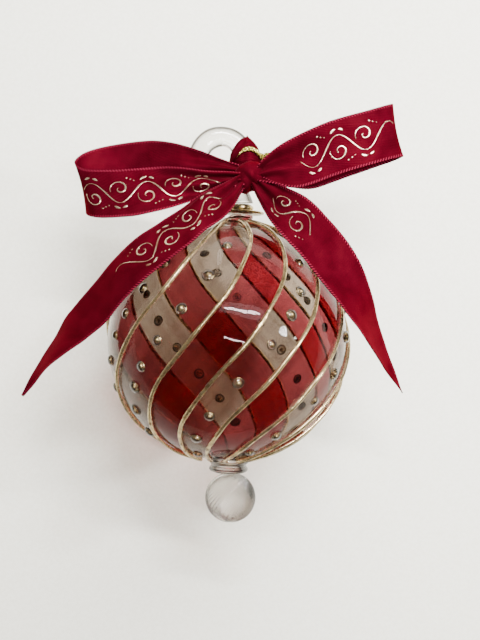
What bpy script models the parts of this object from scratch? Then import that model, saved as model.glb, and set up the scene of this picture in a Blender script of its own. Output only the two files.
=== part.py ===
# Blown-glass Christmas ornament: a clear and red swirled ball with gilt glass threads and rows of
# glass dots, a gilt collar and a glass hanging ring above, a glass drop below, and a satin bow.
# Metres, +Z up. It hangs: the origin is the top of the ring's hole, where a hook bears.
# The ball's axis is parallel to Z, and the side with the bow's knot faces -Y.
import bpy
import bmesh
import numpy as np
from math import acos, asin, atan2, cos, degrees, pi, radians, sin, tanh

MM = 0.001
GAP = 0.3 * MM                       # space kept between pieces that touch

# Ball
GLOBE_R = 38.0 * MM                  # three inch ball
GLOBE_SHIFT = -1.9 * MM              # the ball was blown a little left of the line neck to drop
GLOBE_SIDES, GLOBE_RINGS = 34, 18
NECK_R = 4.7 * MM                    # where it leaves the ball
NECK_TOP_R = 3.5 * MM
NECK_RISE = 2.2 * MM                 # neck's top above the ball's top
NECK_SIDES = 18

# Glass threads laid on the ball, gilt
THREAD_R = 0.6 * MM
THREAD_POINTS = 15
THREAD_ANGLES = (-95, -48, -16, 8, 32, 58.5, 86, 104.5, 122, 140, 169, 198, 229.5)   # at the equator, degrees
SWIRL = 58.7                         # degrees a thread turns from the equator towards a pole, less the lag
SWIRL_RATE = 0.77
SWIRL_LAG = 5.7
BACK_TURN, BACK_CURL = 6, 20         # further degrees at the ball's back: everywhere, and towards its top

# Dots of glass down the middle of each clear panel: a row's place at the equator, then its dots'
# latitudes, in degrees, as uneven as they were dabbed on
DOT_R = 1.2 * MM
DOT_SINK = 0.2 * MM                  # how far a dot's centre sits inside the ball's surface
DOT_ROWS = {
    -62: (49, 36, 23, 11, 1, -11, -25, -40), -31: (48, 30, 14, 0, -12, -22, -35, -50),
    20: (40, 24, 13, 0, -17, -34, -49, -66), 73: (46, 32, 17, 4, -13, -26, -46, -61),
    113: (50, 36, 22, 8, -6, -20, -34, -49), 154.5: (50, 37, 23, 9, -5, -20, -35, -49),
    214: (50, 36, 22, 8, -6, -20, -34, -49)}

# Gilt collar between neck and ring: a squashed bead on a thin flange
COLLAR_R = 3.6 * MM
COLLAR_H = 3.2 * MM
FLANGE_R = 7.0 * MM
FLANGE_H = 0.8 * MM
COLLAR_SHIFT = 1.2 * MM              # right of the line that neck and lower collar share
COLLAR_SIDES = 18

# Hanging ring and its stem
HOLE_R = 4.0 * MM
RING_WIDTH = 6.5 * MM                # radial width of the ring's glass
RING_THICK = 4.4 * MM
RING_RISE = 13.8 * MM                # ring's centre above the stem's foot
RING_SHIFT = -7.2 * MM               # the ring leans left of the collar
RING_SIDES, RING_SECTION = 24, 10
STEM_FOOT_R = 3.6 * MM
STEM_TOP_R = 2.1 * MM

# Collar and drop under the ball
FOOT_R = 6.5 * MM
FOOT_H = 4.2 * MM                    # below the ball's lowest point
FOOT_LIP = 0.9 * MM                  # how far the collar's rim climbs the ball
DROP_R = 8.1 * MM
DROP_THICK = 11.4 * MM
DROP_SHIFT = 1.0 * MM
DROP_SEAT_R = 2.6 * MM               # flat at the drop's top, against the collar
DROP_SIDES = 20

# Satin ribbon
RIBBON_WIDTH = 16.5 * MM             # five-eighths ribbon, as measured
RIBBON_THICK = 0.8 * MM              # a stand-in for cloth of 0.3 mm
STRIP_ACROSS = 2
WRAP_FROM, WRAP_TO = -46, 23         # where the ribbon goes round the ring's right limb, degrees
WRAP_SLANT = 19                      # its upper edge is higher outside the ring than in the hole
WRAP_BULGE = 1.5 * MM                # the cloth bunches on the outside of the limb
BULGE_ANGLE, BULGE_SPREAD = 4, 24    # where, and how far either way
KNOT_SIDE = 9.3 * MM                 # knot's centre right of the ring's centre
KNOT_DROP = 6.9 * MM                 # and below it
KNOT_FORWARD = 6.4 * MM
KNOT_SIZE = (4.0 * MM, 4.3 * MM, 4.9 * MM)

# Gold tie cord round the wrapped limb
CORD_R = 0.35 * MM
CORD_ANGLE = 25                      # where it goes round the ring's right limb, degrees
CORD_FALL = 21                       # it comes down the outside of the limb
CORD_DIP = 35                        # and lower still in the ring's hole
CORD_POINTS = 16
CORD_KNOT_R = 1.0 * MM

# Places that follow from the sizes
RING_CENTRE = np.array((0.0, 0.0, -HOLE_R))
COLLAR_X = -RING_SHIFT
AXIS_X = COLLAR_X - COLLAR_SHIFT
STEM_FOOT = np.array((COLLAR_X, 0.0, -HOLE_R - RING_RISE))
COLLAR_TOP = STEM_FOOT[2] - GAP
NECK_TOP = COLLAR_TOP - COLLAR_H - GAP
GLOBE = np.array((AXIS_X + GLOBE_SHIFT, 0.0, NECK_TOP - NECK_RISE - GLOBE_R))
FOOT_BASE = GLOBE[2] - GLOBE_R - FOOT_H
DROP_TOP = FOOT_BASE - GAP
LIMB_R = HOLE_R + RING_WIDTH / 2     # centre line of the ring's glass
KNOT = RING_CENTRE + np.array((KNOT_SIDE, -KNOT_FORWARD, -KNOT_DROP))

# Ribbon routes. A station holds x, y, z of the ribbon's middle, the lean of its width from the
# vertical seen from the front, the turn of its width away from the viewer (both in degrees) and the
# share of its full width that is spread. The loops are in ribbon widths from the knot.
LEFT_LOOP = (
    (-0.10, 0.12, 0.13, -14, 0, 0.27), (-0.51, 0.12, 0.17, -10, 0, 0.42), (-0.93, 0.13, 0.17, -7, 0, 0.71),
    (-1.42, 0.17, 0.20, -6, 0, 0.92), (-1.90, 0.24, 0.21, -5, 0, 1), (-2.39, 0.29, 0.15, -5, 0, 1),
    (-2.84, 0.28, 0.04, -7, 0, 1), (-3.12, 0.18, -0.10, -11, 0, 1), (-3.20, 0.01, -0.28, -15, 0, 1),
    (-3.02, -0.16, -0.40, -16, 15, 1), (-2.68, -0.25, -0.42, -13, 20, 1), (-2.19, -0.29, -0.38, -8, 20, 1),
    (-1.72, -0.28, -0.30, -8, 20, 0.94), (-1.27, -0.25, -0.22, -8, 10, 0.72), (-0.81, -0.22, -0.15, -9, 0, 0.48),
    (-0.39, -0.19, -0.06, -12, 0, 0.31), (-0.08, -0.16, -0.02, -12, 0, 0.22))
RIGHT_LOOP = (
    (0.13, -0.16, 0.05, -17, 0, 0.22), (0.39, -0.22, 0.16, -16, 0, 0.56), (0.82, -0.28, 0.28, -14, 0, 0.92),
    (1.56, -0.32, 0.60, -12.5, 0, 1), (2.21, -0.30, 0.82, -12.5, 0, 1), (2.58, -0.22, 0.95, -13.5, 0, 1),
    (2.76, -0.04, 1.02, -14.5, 0, 1), (2.61, 0.16, 0.95, -13.5, 0, 1), (2.23, 0.24, 0.81, -11.5, 0, 1),
    (1.59, 0.27, 0.56, -11.5, 0, 1), (1.04, 0.24, 0.30, -15, 0, 0.87), (0.54, 0.17, 0.19, -17, 0, 0.54),
    (0.19, 0.12, 0.12, -20, 0, 0.24))
# The tails leave the knot in ribbon widths from it, and then lie over the ball's
# shoulders, so the rest of their middles are in ball radii from its centre.
LEFT_TAIL_START = (-0.15, -0.19, -0.06, -38, 0, 0.25)
RIGHT_TAIL_START = (0.13, -0.19, -0.06, 44, 0, 0.27)
LEFT_TAIL = (
    (-0.055, -0.36, 1.171, -39, 12, 0.5),
    (-0.253, -0.487, 1.008, -40, 40, 0.85), (-0.437, -0.558, 0.842, -41, 44, 1),
    (-0.634, -0.584, 0.684, -43, 44, 1), (-0.805, -0.574, 0.521, -45, 44, 1),
    (-0.945, -0.524, 0.361, -48, 44, 1), (-1.076, -0.445, 0.208, -48, 46, 1),
    (-1.218, -0.35, 0.071, -48, 52, 1), (-1.353, -0.25, -0.074, -48, 55, 0.8),
    (-1.524, -0.145, -0.263, -52, 58, 0.46), (-1.695, -0.05, -0.526, -56, 60, 0.04))
RIGHT_TAIL = (
    (0.353, -0.35, 1.153, 44, 10, 0.62),
    (0.476, -0.44, 1.039, 44, 25, 0.9), (0.592, -0.5, 0.921, 44, 28, 1),
    (0.703, -0.52, 0.808, 45, 28, 1), (0.803, -0.53, 0.689, 48, 28, 1),
    (0.892, -0.51, 0.574, 52, 35, 1), (0.987, -0.46, 0.432, 56, 45, 1),
    (1.066, -0.395, 0.3, 58, 52, 1), (1.153, -0.32, 0.15, 60, 60, 1),
    (1.247, -0.24, -0.013, 60, 64, 0.75), (1.355, -0.15, -0.197, 59, 66, 0.36),
    (1.476, -0.05, -0.384, 59, 68, 0.04))


def clear_scene():
    for obj in list(bpy.data.objects):
        bpy.data.objects.remove(obj, do_unlink=True)


def new_collection(name):
    collection = bpy.data.collections.new(name)
    bpy.context.scene.collection.children.link(collection)
    return collection


def new_material(name, colour, roughness, metallic=0.0, transmission=0.0, ior=1.45):
    material = bpy.data.materials.new(name)
    material.use_nodes = True
    shader = material.node_tree.nodes["Principled BSDF"]
    shader.inputs["Base Color"].default_value = (*colour, 1.0)
    shader.inputs["Roughness"].default_value = roughness
    shader.inputs["Metallic"].default_value = metallic
    shader.inputs["Transmission Weight"].default_value = transmission
    shader.inputs["IOR"].default_value = ior
    material.diffuse_color = (*colour, 1.0)
    return material


def put(name, mesh, collection, material=None):
    """One object for a mesh, shaded smooth except at real edges."""
    obj = bpy.data.objects.new(name, mesh)
    collection.objects.link(obj)
    mesh.shade_smooth()
    mesh.set_sharp_from_angle(angle=radians(45))
    if material:
        mesh.materials.append(material)
    return obj


def as_cutter(obj):
    obj.hide_render = True
    obj.display_type = 'WIRE'
    return obj


def primitive(name, collection, material, build, **sizes):
    """A mesh object from one of bmesh's primitives."""
    shape = bmesh.new()
    build(shape, **sizes)
    mesh = bpy.data.meshes.new(name)
    shape.to_mesh(mesh)
    shape.free()
    return put(name, mesh, collection, material)


def turned(name, profile, collection, material, sides):
    """A profile of (radius, height) pairs, top to bottom, turned round Z."""
    mesh = bpy.data.meshes.new(name)
    mesh.from_pydata([(r, 0.0, z) for r, z in profile], [(i, i + 1) for i in range(len(profile) - 1)], [])
    obj = put(name, mesh, collection, material)
    screw = obj.modifiers.new("Screw", 'SCREW')
    screw.steps = screw.render_steps = sides
    screw.use_merge_vertices = True
    screw.merge_threshold = 0.00001
    screw.use_smooth_shade = True
    return obj


def tube(name, points, radius, collection, material, cyclic=False, resolution=1):
    """A round wire along a polyline, with filled ends."""
    curve = bpy.data.curves.new(name, 'CURVE')
    curve.dimensions = '3D'
    spline = curve.splines.new('POLY')
    spline.points.add(len(points) - 1)
    for slot, point in zip(spline.points, points):
        slot.co = (*point, 1.0)
    spline.use_cyclic_u = cyclic
    spline.use_smooth = True
    curve.bevel_depth = radius
    curve.bevel_resolution = resolution
    curve.use_fill_caps = not cyclic
    curve.materials.append(material)
    obj = bpy.data.objects.new(name, curve)
    collection.objects.link(obj)
    return obj


def baked(obj):
    """The object's evaluated shape as a plain mesh, its caps welded, in place of the object."""
    bpy.context.view_layer.update()
    mesh = bpy.data.meshes.new_from_object(obj.evaluated_get(bpy.context.evaluated_depsgraph_get()))
    shape = bmesh.new()
    shape.from_mesh(mesh)
    bmesh.ops.remove_doubles(shape, verts=shape.verts, dist=0.000002)
    shape.to_mesh(mesh)
    shape.free()
    solid = bpy.data.objects.new("solid", mesh)
    solid.matrix_world = obj.matrix_world.copy()
    name, home = obj.name, obj.users_collection[0]
    home.objects.link(solid)
    bpy.data.objects.remove(obj, do_unlink=True)
    solid.name = name
    return solid


def boolean(obj, other, operation):
    modifier = obj.modifiers.new(operation.title(), 'BOOLEAN')
    modifier.operation = operation
    modifier.solver = 'EXACT'
    modifier.object = other
    return modifier


def swirl(latitude, row):
    """Degrees that a thread from that place on the equator has turned at a latitude."""
    angle = radians(latitude)
    back = sin(radians(row) / 2) ** 6
    further = back * (BACK_TURN * angle + BACK_CURL * max(angle, 0) ** 2)
    return SWIRL * tanh(SWIRL_RATE * angle) - SWIRL_LAG * angle ** 2 + further


def on_ball(radius, latitude, longitude):
    """A point over the ball; longitude 0 faces -Y and grows to the right."""
    lat, lon = radians(latitude), radians(longitude)
    return GLOBE + radius * np.array((cos(lat) * sin(lon), -cos(lat) * cos(lon), sin(lat)))


def smooth_path(stations, steps):
    """Catmull-Rom curve through the stations, every column of them alike."""
    knots = np.array(stations, dtype=float)
    padded = np.vstack((2 * knots[0] - knots[1], knots, 2 * knots[-1] - knots[-2]))
    spans = len(knots) - 1
    t = np.linspace(0, spans, spans * steps + 1)
    i = np.minimum(t.astype(int), spans - 1)
    u = (t - i)[:, None]
    a, b, c, d = padded[i], padded[i + 1], padded[i + 2], padded[i + 3]
    return b + 0.5 * u * (c - a + u * (2 * a - 5 * b + 4 * c - d + u * (3 * (b - c) + d - a)))


def placed(stations, origin, unit):
    """Stations with their middles in metres."""
    rows = np.array(stations, dtype=float)
    rows[:, :3] = origin + rows[:, :3] * unit
    return rows


def tail(start, stations):
    """A tail's stations: its start at the knot, the rest over the ball."""
    return np.vstack((placed([start], KNOT, RIBBON_WIDTH), placed(stations, GLOBE, GLOBE_R)))


def strip(name, stations, collection, steps=2):
    """Ribbon: the station's middle plus and minus its width, along a direction set by lean and turn."""
    path = smooth_path(stations, steps)
    middle = path[:, :3]
    lean, turn = np.radians(path[:, 3]), np.radians(path[:, 4])
    across = np.stack((np.sin(lean) * np.cos(turn), np.sin(turn), np.cos(lean) * np.cos(turn)), axis=1)
    half = path[:, 5, None] * RIBBON_WIDTH / 2
    shares = np.linspace(-1, 1, STRIP_ACROSS + 1)
    grid = middle[:, None, :] + shares[None, :, None] * (across * half)[:, None, :]
    return skin(name, grid, collection, closed=False)


def skin(name, grid, collection, closed):
    """Cloth surface over a grid of points, given its thickness."""
    rows, columns = grid.shape[:2]
    around = columns if closed else columns - 1
    faces = [(i * columns + j, i * columns + (j + 1) % columns,
              (i + 1) * columns + (j + 1) % columns, (i + 1) * columns + j)
             for i in range(rows - 1) for j in range(around)]
    mesh = bpy.data.meshes.new(name)
    mesh.from_pydata(grid.reshape(-1, 3).tolist(), [], faces)
    obj = put(name, mesh, collection)
    solidify = obj.modifiers.new("Solidify", 'SOLIDIFY')
    solidify.thickness = RIBBON_THICK
    solidify.offset = 0.0
    solidify.use_even_offset = True
    return obj


def around_limb(angle, turn, offset):
    """Points round the ring's glass: angle goes round the ring, turn round its section, in radians."""
    reach = LIMB_R + (RING_WIDTH / 2 + offset) * np.cos(turn)
    depth = (RING_THICK / 2 + offset) * np.sin(turn)
    return RING_CENTRE + np.stack((reach * np.cos(angle), depth, reach * np.sin(angle)), axis=-1)


def wrap_bulge(angle, turn):
    """How far the bunched cloth stands off the limb there, angle in degrees."""
    return WRAP_BULGE * np.exp(-((angle - BULGE_ANGLE) / BULGE_SPREAD) ** 2) * np.maximum(np.cos(turn), 0)


def make_globe(parts, cutters, glass):
    """Ball, neck and dots of one glass."""
    globe = primitive("globe", parts, glass, bmesh.ops.create_uvsphere,
                      u_segments=GLOBE_SIDES, v_segments=GLOBE_RINGS, radius=GLOBE_R)
    globe.location = GLOBE
    neck_height = GLOBE_R / 4 + NECK_RISE
    neck = as_cutter(primitive("neck_form", cutters, None, bmesh.ops.create_cone, cap_ends=True,
                               segments=NECK_SIDES, radius1=NECK_R, radius2=NECK_TOP_R, depth=neck_height))
    neck.location = ((AXIS_X + COLLAR_X) / 2, 0, NECK_TOP - neck_height / 2)
    shape = bmesh.new()
    for row, latitudes in DOT_ROWS.items():
        for latitude in latitudes:
            made = bmesh.ops.create_icosphere(shape, subdivisions=1, radius=DOT_R)
            centre = on_ball(GLOBE_R - DOT_SINK, latitude, row + swirl(latitude, row))
            bmesh.ops.translate(shape, verts=made["verts"], vec=centre)
    mesh = bpy.data.meshes.new("dot_forms")
    shape.to_mesh(mesh)
    shape.free()
    dots = as_cutter(put("dot_forms", mesh, cutters))
    boolean(globe, neck, 'UNION')
    boolean(globe, dots, 'UNION')
    return globe


def make_threads(parts, gilt):
    """Each thread runs pole to pole on the ball and stops short of the neck and of the lower collar."""
    run = GLOBE_R + GAP + THREAD_R
    top = degrees(acos((NECK_R - GLOBE_SHIFT + THREAD_R + 2 * GAP) / GLOBE_R))
    bottom = -degrees(acos((FOOT_R - GLOBE_SHIFT + THREAD_R + 2 * GAP) / GLOBE_R))
    for number, longitude in enumerate(THREAD_ANGLES, start=1):
        points = [on_ball(run, latitude, longitude + swirl(latitude, longitude))
                  for latitude in np.linspace(top, bottom, THREAD_POINTS)]
        tube(f"gilt_thread_{number:02d}", points, THREAD_R, parts, gilt)


def make_collar(parts, gilt):
    """Squashed gilt bead standing on a thin flange."""
    half = (COLLAR_H - FLANGE_H) / 2
    profile = [(0.0, 2 * half)]
    profile += [(COLLAR_R * cos(a) ** 0.6, half + half * sin(a)) for a in np.radians((75, 50, 20, -20, -50))]
    profile += [(0.9 * COLLAR_R, 0.0), (0.96 * FLANGE_R, 0.0), (FLANGE_R, -0.4 * FLANGE_H),
                (0.93 * FLANGE_R, -FLANGE_H), (0.0, -FLANGE_H)]
    collar = turned("gilt_collar", profile, parts, gilt, COLLAR_SIDES)
    collar.location = (COLLAR_X, 0, COLLAR_TOP - 2 * half)


def ring_form(name, collection, material, offset):
    """The flat ring, grown by an offset all round, standing in the XZ plane."""
    bpy.ops.mesh.primitive_torus_add(major_segments=RING_SIDES, minor_segments=RING_SECTION,
                                     major_radius=LIMB_R, minor_radius=RING_WIDTH / 2 + offset)
    ring = bpy.context.active_object
    for owner in list(ring.users_collection):
        owner.objects.unlink(ring)
    collection.objects.link(ring)
    ring.name = ring.data.name = name
    ring.scale = (1, 1, (RING_THICK / 2 + offset) / (RING_WIDTH / 2 + offset))
    ring.rotation_euler = (pi / 2, 0, 0)
    ring.location = RING_CENTRE
    ring.data.shade_smooth()
    if material:
        ring.data.materials.append(material)
    return ring


def stem_form(name, collection, offset):
    """Tapered stem from the collar to the ring's glass."""
    path = RING_CENTRE - STEM_FOOT
    length = np.linalg.norm(path) - LIMB_R
    extra = STEM_FOOT_R
    stem = primitive(name, collection, None, bmesh.ops.create_cone, cap_ends=True, segments=20,
                     radius1=STEM_FOOT_R + offset, radius2=STEM_TOP_R + offset, depth=length + extra)
    along = path / np.linalg.norm(path)
    stem.location = STEM_FOOT + along * (length - extra) / 2
    stem.rotation_euler = (0, atan2(along[0], along[2]), 0)
    return as_cutter(stem)


def make_ring(parts, cutters, glass):
    """Ring and stem in one glass, cut level where the stem stands on the collar."""
    ring = ring_form("hanging_ring", parts, glass, 0.0)
    boolean(ring, stem_form("stem_form", cutters, 0.0), 'UNION')
    block = as_cutter(primitive("stem_foot_cut", cutters, None, bmesh.ops.create_cube, size=1.0))
    size = 4 * STEM_FOOT_R
    block.scale = (size, size, size)
    block.location = STEM_FOOT - np.array((0, 0, size / 2))
    boolean(ring, block, 'DIFFERENCE')


def make_foot(parts, cutters, glass):
    """Glass collar under the ball, hollowed to the ball's curve."""
    rim = GLOBE[2] - GLOBE_R + FOOT_LIP
    height = rim - FOOT_BASE
    waist = 0.86 * FOOT_R
    profile = [(0.0, rim), (0.92 * FOOT_R, rim), (FOOT_R, rim - 0.12 * height), (FOOT_R, rim - 0.34 * height),
               (waist, rim - 0.5 * height), (0.94 * FOOT_R, rim - 0.7 * height),
               (0.9 * FOOT_R, rim - 0.88 * height), (0.7 * FOOT_R, FOOT_BASE), (0.0, FOOT_BASE)]
    foot = turned("finial_collar", profile, parts, glass, COLLAR_SIDES)
    foot.location = (AXIS_X, 0, 0)
    ball = as_cutter(primitive("ball_seat_cut", cutters, None, bmesh.ops.create_uvsphere,
                               u_segments=GLOBE_SIDES, v_segments=GLOBE_RINGS, radius=GLOBE_R + GAP))
    ball.location = GLOBE
    boolean(foot, ball, 'DIFFERENCE')


def make_drop(parts, glass):
    """Flattened glass drop with a small flat seat at its top."""
    start = asin(DROP_SEAT_R / DROP_R)
    profile = [(0.0, DROP_R * cos(start))]
    profile += [(DROP_R * sin(a), DROP_R * cos(a)) for a in np.linspace(start, pi, 12)]
    profile[-1] = (0.0, -DROP_R)
    drop = turned("finial_drop", profile, parts, glass, DROP_SIDES)
    drop.scale = (1, DROP_THICK / (2 * DROP_R), 1)
    drop.location = (AXIS_X + DROP_SHIFT, 0, DROP_TOP - DROP_R * cos(start))


def make_ribbon(parts, cutters, satin):
    """Knot, two loops, two tails and the turn round the ring, one ribbon."""
    knot = primitive("ribbon_bow", parts, satin, bmesh.ops.create_uvsphere,
                     u_segments=12, v_segments=8, radius=1.0)
    knot.scale = KNOT_SIZE
    knot.location = KNOT
    turns = np.linspace(0, 2 * pi, 12, endpoint=False)
    angles = WRAP_FROM + np.linspace(0, 1, 7)[:, None] * (WRAP_TO + WRAP_SLANT * np.cos(turns) - WRAP_FROM)
    offset = GAP + RIBBON_THICK / 2 + wrap_bulge(angles, turns)
    wrap = skin("wrap_form", around_limb(np.radians(angles), turns, offset), cutters, closed=True)
    forms = [wrap,
             strip("left_loop_form", placed(LEFT_LOOP, KNOT, RIBBON_WIDTH), cutters),
             strip("right_loop_form", placed(RIGHT_LOOP, KNOT, RIBBON_WIDTH), cutters),
             strip("left_tail_form", tail(LEFT_TAIL_START, LEFT_TAIL), cutters),
             strip("right_tail_form", tail(RIGHT_TAIL_START, RIGHT_TAIL), cutters)]
    for form in forms:
        boolean(knot, as_cutter(form), 'UNION')
    room = ring_form("ring_room", cutters, None, GAP)
    boolean(as_cutter(room), stem_form("stem_room", cutters, GAP), 'UNION')
    boolean(knot, room, 'DIFFERENCE')


def make_cord(parts, cutters, gold):
    """Gold tie cord round the wrapped limb, with its knot on the outside."""
    turns = np.linspace(0, 2 * pi, CORD_POINTS, endpoint=False)
    outside, inside = np.maximum(np.cos(turns), 0), np.maximum(-np.cos(turns), 0)
    angles = CORD_ANGLE - CORD_FALL * outside ** 3 - CORD_DIP * inside ** 2
    offset = GAP + RIBBON_THICK + GAP + CORD_R + wrap_bulge(angles, turns)
    route = around_limb(np.radians(angles), turns, offset)
    loop = tube("loop", route, CORD_R, parts, gold, cyclic=True)
    cord = baked(loop)
    cord.name = "gold_cord"
    bead = as_cutter(primitive("cord_knot_form", cutters, None, bmesh.ops.create_uvsphere,
                               u_segments=8, v_segments=6, radius=CORD_KNOT_R))
    bead.location = route[0] + np.array((0.7 * CORD_KNOT_R, 0, 0))
    boolean(cord, bead, 'UNION')


def main():
    clear_scene()
    parts = new_collection("christmas_ornament")
    cutters = new_collection("cutters")
    glass = new_material("swirled_glass", (0.42, 0.08, 0.08), 0.05, transmission=0.8)
    clear = new_material("clear_glass", (0.92, 0.9, 0.86), 0.04, transmission=0.9)
    gilt = new_material("gilt", (0.56, 0.42, 0.22), 0.25, metallic=1.0)
    satin = new_material("crimson_satin", (0.3, 0.005, 0.02), 0.4)
    make_globe(parts, cutters, glass)
    make_threads(parts, gilt)
    make_collar(parts, gilt)
    make_ring(parts, cutters, clear)
    make_foot(parts, cutters, clear)
    make_drop(parts, clear)
    make_ribbon(parts, cutters, satin)
    make_cord(parts, cutters, gilt)
    bpy.context.view_layer.update()


main()
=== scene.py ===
# Blown-glass Christmas ornament with a satin bow, dressed for its picture.
# +Z up, and the side with the bow's knot faces -Y. Shapes and the camera's place are in millimetres,
# finishes, paper and lights in metres.
from math import cos, pi, radians, sin

import bpy
import numpy as np
from mathutils import Matrix


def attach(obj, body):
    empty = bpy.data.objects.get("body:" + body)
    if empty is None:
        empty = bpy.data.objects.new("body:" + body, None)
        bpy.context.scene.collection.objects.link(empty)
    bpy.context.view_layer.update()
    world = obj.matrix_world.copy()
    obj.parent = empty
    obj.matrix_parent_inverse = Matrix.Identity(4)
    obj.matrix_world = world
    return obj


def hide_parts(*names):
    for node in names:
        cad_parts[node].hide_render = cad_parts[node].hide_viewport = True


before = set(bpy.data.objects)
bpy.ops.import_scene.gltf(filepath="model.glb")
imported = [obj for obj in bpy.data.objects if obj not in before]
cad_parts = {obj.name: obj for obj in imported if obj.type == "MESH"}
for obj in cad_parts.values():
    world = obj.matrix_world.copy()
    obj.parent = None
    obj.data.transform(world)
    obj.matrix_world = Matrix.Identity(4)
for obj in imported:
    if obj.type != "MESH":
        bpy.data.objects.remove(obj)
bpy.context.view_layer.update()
print("frame loaded:", len(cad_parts), "solids")

mm = 0.001
ringCentre = np.array((0.0, 0.0, -4.0))
globeCentre = np.array((4.1, 0.0, -61.8))
globeRadius = 38.0
knotCentre = np.array((9.3, -6.4, -10.9))


# Mesh helpers

def fullTurn(count):
    return np.linspace(0, 2 * pi, count, endpoint=False)


def stacked(*parts):
    # numbers and arrays as the last axis of one array
    return np.stack(np.broadcast_arrays(*parts), axis=-1)


def roundAxis(angle, reach, height, squash=1):
    # (reach sin angle, -squash reach cos angle, height)
    return stacked(reach * np.sin(angle), -squash * reach * np.cos(angle), height)


def gridFaces(rows, columns, wrapRows=False, wrapColumns=False):
    # quads over a grid of points, facing along column direction x row direction
    i = np.arange(rows if wrapRows else rows - 1)[:, None]
    j = np.arange(columns if wrapColumns else columns - 1)[None, :]
    below, right = (i + 1) % rows, (j + 1) % columns
    quads = (i * columns + j, i * columns + right, below * columns + right, below * columns + j)
    return stacked(*quads).reshape(-1, 4)


def closedRings(grid, inward=False):
    # rings of points from one end to the other, joined round, with a fan closing each end
    rows, columns = grid.shape[:2]
    ring, last = np.arange(columns), (rows - 1) * columns
    after = (ring + 1) % columns
    ends = grid[[0, -1]].mean(axis=1)
    tris = np.vstack((stacked(rows * columns, after, ring), stacked(ring + last, after + last, rows * columns + 1)))
    quads = gridFaces(rows, columns, wrapColumns=True)
    if inward:
        quads, tris = quads[:, ::-1], tris[:, ::-1]
    return {"points": np.vstack((grid.reshape(-1, 3), ends)), "quads": quads, "tris": tris}


def closedBand(grid):
    # rings of points joined round both ways
    quads = gridFaces(*grid.shape[:2], wrapRows=True, wrapColumns=True)
    return {"points": grid.reshape(-1, 3), "quads": quads, "tris": np.empty((0, 3), dtype=int)}


def joined(shapes):
    # several shapes as one, their point numbers moved up
    starts = np.cumsum([0] + [len(shape["points"]) for shape in shapes[:-1]])
    result = {"points": np.vstack([shape["points"] for shape in shapes])}
    for kind in ("quads", "tris"):
        result[kind] = np.vstack([shape[kind] + start for shape, start in zip(shapes, starts)])
    for kind in ("cloth", "values"):
        if kind in shapes[0]:
            result[kind] = np.concatenate([shape[kind] for shape in shapes])
    return result


def turned(profile, sides, centre=(0.0, 0.0, 0.0)):
    # (radius, height) pairs from bottom to top turned round Z
    radius, height = np.array(profile, dtype=float).T[..., None]
    return closedRings(roundAxis(fullTurn(sides), radius, height) + np.array(centre))


def carried(path, up, width, height, sides, closed=False, corners=2.0):
    # section carried along a path: path + width cos(a) side + height sin(a) up, with side = up x tangent;
    # corners above 2 fill the section's shoulders
    tangent = directions(path, closed)
    side = unit(np.cross(up, tangent))
    lift = np.cross(tangent, side)
    c, s = superellipse(fullTurn(sides), 2 / corners)
    width = np.broadcast_to(width, len(path))[:, None, None]
    height = np.broadcast_to(height, len(path))[:, None, None]
    grid = path[:, None, :] + width * c[:, None] * side[:, None, :] + height * s[:, None] * lift[:, None, :]
    return closedBand(grid) if closed else closedRings(grid)


def scattered(shape, centres, frames, scales):
    # copies of a small shape: point = centre + frame . (scale * point)
    points = np.einsum("nij,nkj->nki", frames, shape["points"][None] * scales[:, None, None]) + centres[:, None]
    starts = (np.arange(len(centres)) * len(shape["points"]))[:, None, None]
    result = {"points": points.reshape(-1, 3), "quads": (shape["quads"][None] + starts).reshape(-1, 4),
              "tris": (shape["tris"][None] + starts).reshape(-1, 3)}
    if "values" in shape:
        result["values"] = np.tile(shape["values"], (len(centres), 1))
    return result


def unit(vectors):
    return vectors / np.linalg.norm(vectors, axis=-1, keepdims=True)


def directions(path, closed=False):
    # unit steps along a path
    return unit(np.roll(path, -1, axis=0) - np.roll(path, 1, axis=0) if closed else np.gradient(path, axis=0))


def superellipse(angle, power):
    # sign(cos a) |cos a|^power, and the same of sin
    c, s = np.cos(angle), np.sin(angle)
    return np.sign(c) * np.abs(c) ** power, np.sign(s) * np.abs(s) ** power


def asPanel(flags):
    # flags as the x of the panel attribute
    return np.outer(flags, (1.0, 0, 0))


def smoothPath(stations, steps):
    # Catmull-Rom curve through the stations, every column of them alike
    knots = np.array(stations, dtype=float)
    padded = np.vstack((2 * knots[0] - knots[1], knots, 2 * knots[-1] - knots[-2]))
    spans = len(knots) - 1
    t = np.linspace(0, spans, spans * steps + 1)
    i = np.minimum(t.astype(int), spans - 1)
    u = (t - i)[:, None]
    a, b, c, d = padded[i], padded[i + 1], padded[i + 2], padded[i + 3]
    return b + 0.5 * u * (c - a + u * (2 * a - 5 * b + 4 * c - d + u * (3 * (b - c) + d - a)))


def addObject(name, data):
    made = bpy.data.objects.new(name, data)
    bpy.context.scene.collection.objects.link(made)
    return made


def meshObject(name, shape):
    # the shape as an object, with its cloth map and its panel values if it has them
    mesh = bpy.data.meshes.new(name)
    mesh.from_pydata((shape["points"] * mm).tolist(), [], shape["quads"].tolist() + shape["tris"].tolist())
    if "cloth" in shape:
        corners = np.empty(len(mesh.loops), dtype=np.int32)
        mesh.loops.foreach_get("vertex_index", corners)
        mesh.uv_layers.new(name="cloth").data.foreach_set("uv", (shape["cloth"] * mm)[corners].ravel())
    if "values" in shape:
        layer = mesh.attributes.new("panel", 'FLOAT_VECTOR', 'POINT')
        layer.data.foreach_set("vector", shape["values"].ravel())
    mesh.shade_smooth()
    return addObject(name, mesh)


def makePiece(name, shape, material, nodes, sharp=None):
    # one finished piece: its mesh in place, riding the body and standing for its solids
    piece = meshObject(name, shape)
    piece.data.materials.append(material)
    if sharp:
        piece.data.set_sharp_from_angle(angle=radians(sharp))
    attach(piece, "root")
    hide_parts(*nodes)
    return piece


# Material helpers

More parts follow.
